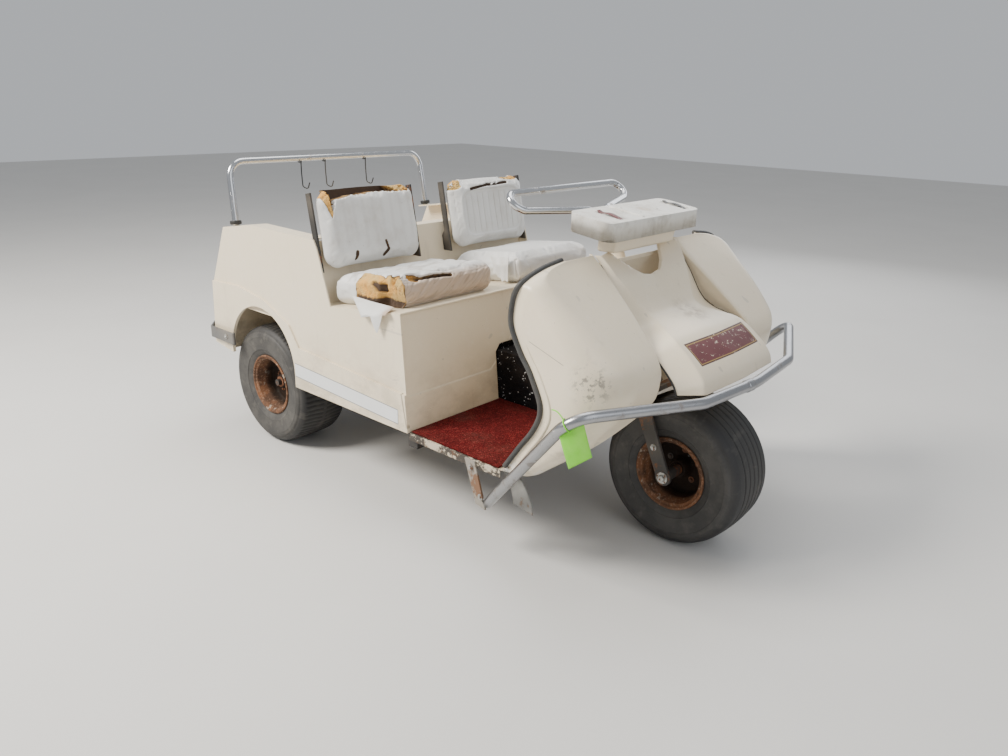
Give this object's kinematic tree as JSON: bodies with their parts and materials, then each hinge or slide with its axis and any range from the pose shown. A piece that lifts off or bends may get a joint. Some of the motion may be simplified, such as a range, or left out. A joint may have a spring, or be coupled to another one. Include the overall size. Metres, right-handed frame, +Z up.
{
  "type": "three-wheel golf cart",
  "caption": "Open two-seat golf cart on three wheels with a moulded body, loop handle steering, wrap-round front bumper tube and an open bag well",
  "frame": {"origin": "on the ground, under the middle of the cart's length and width", "axes": "+Z up, the front faces -Y, +X is the vehicle's left"},
  "size_m": [1.2638, 2.0979, 1.0505],
  "materials": {
    "gelcoat": "aged cream moulded shell, semi gloss",
    "steel_frame": "dark painted steel, worn",
    "mat": "dark red carpet",
    "tunnel_carpet": "black carpet",
    "chrome_tube": "worn chrome",
    "bumper_tube": "dull plated tube, scuffed",
    "tray_plastic": "off-white moulded plastic",
    "vinyl": "white vinyl over foam, torn",
    "tyre_rubber": "dusty black rubber",
    "rim_steel": "rusty painted steel",
    "galvanised": "grey painted steel",
    "rubber_trim": "black rubber",
    "cast_unit": "dull cast metal"
  },
  "bodies": {
    "chassis": {"bag_floor": "gelcoat", "bag_rail": "chrome_tube", "brake_pedal": "steel_frame", "bumper_bracket_left": "steel_frame", "bumper_bracket_right": "steel_frame", "bumper_strap_left": "steel_frame", "bumper_strap_right": "steel_frame", "centre_cowl": "gelcoat", "centre_tunnel": "tunnel_carpet", "column_tube": "gelcoat", "drive_unit": "cast_unit", "fender_left": "gelcoat", "fender_right": "gelcoat", "floor_mat_left": "mat", "floor_mat_right": "mat", "floor_pan": "steel_frame", "frame": "steel_frame", "front_bumper": "bumper_tube", "inner_liner": "gelcoat", "leaf_spring_left": "steel_frame", "leaf_spring_right": "steel_frame", "rail_grommet_left": "rubber_trim", "rail_grommet_right": "rubber_trim", "rear_axle_left": "steel_frame", "rear_axle_right": "steel_frame", "rear_bumper": "galvanised", "rear_panel": "gelcoat", "score_tray": "tray_plastic", "seat_back_left": "vinyl", "seat_back_right": "vinyl", "seat_box_panel": "gelcoat", "seat_cushion_left": "vinyl", "seat_cushion_right": "vinyl", "seat_deck": "gelcoat", "seat_strip_left_inner": "steel_frame", "seat_strip_left_outer": "steel_frame", "seat_strip_right_inner": "steel_frame", "seat_strip_right_outer": "steel_frame", "side_panel_left": "gelcoat", "side_panel_right": "gelcoat", "throttle_pedal": "steel_frame", "tray_base": "tray_plastic", "wheel_house_left": "gelcoat", "wheel_house_right": "gelcoat"},
    "steering": {"fork_and_stem": "steel_frame", "front_axle": "steel_frame", "handle_loop": "chrome_tube"},
    "front_wheel": {"rim_front": "rim_steel", "tyre_front": "tyre_rubber"},
    "rear_wheel_right": {"rim_rear_right": "rim_steel", "tyre_rear_right": "tyre_rubber"},
    "rear_wheel_left": {"rim_rear_left": "rim_steel", "tyre_rear_left": "tyre_rubber"}
  },
  "joints": [
    {"name": "steering_turn", "type": "hinge", "parent": "chassis", "child": "steering", "pos_m": [0, -0.79583, 0.21752], "axis": [0, 0.4067, 0.9135], "range_deg": [-35, 35]},
    {"name": "front_wheel_spin", "type": "hinge", "parent": "steering", "child": "front_wheel", "pos_m": [0, -0.8205, 0.2285], "axis": [1, 0, 0], "continuous": true},
    {"name": "rear_wheel_right_spin", "type": "hinge", "parent": "chassis", "child": "rear_wheel_right", "pos_m": [-0.4, 0.6845, 0.2285], "axis": [1, 0, 0], "continuous": true},
    {"name": "rear_wheel_left_spin", "type": "hinge", "parent": "chassis", "child": "rear_wheel_left", "pos_m": [0.4, 0.6845, 0.2285], "axis": [1, 0, 0], "continuous": true}
  ]
}
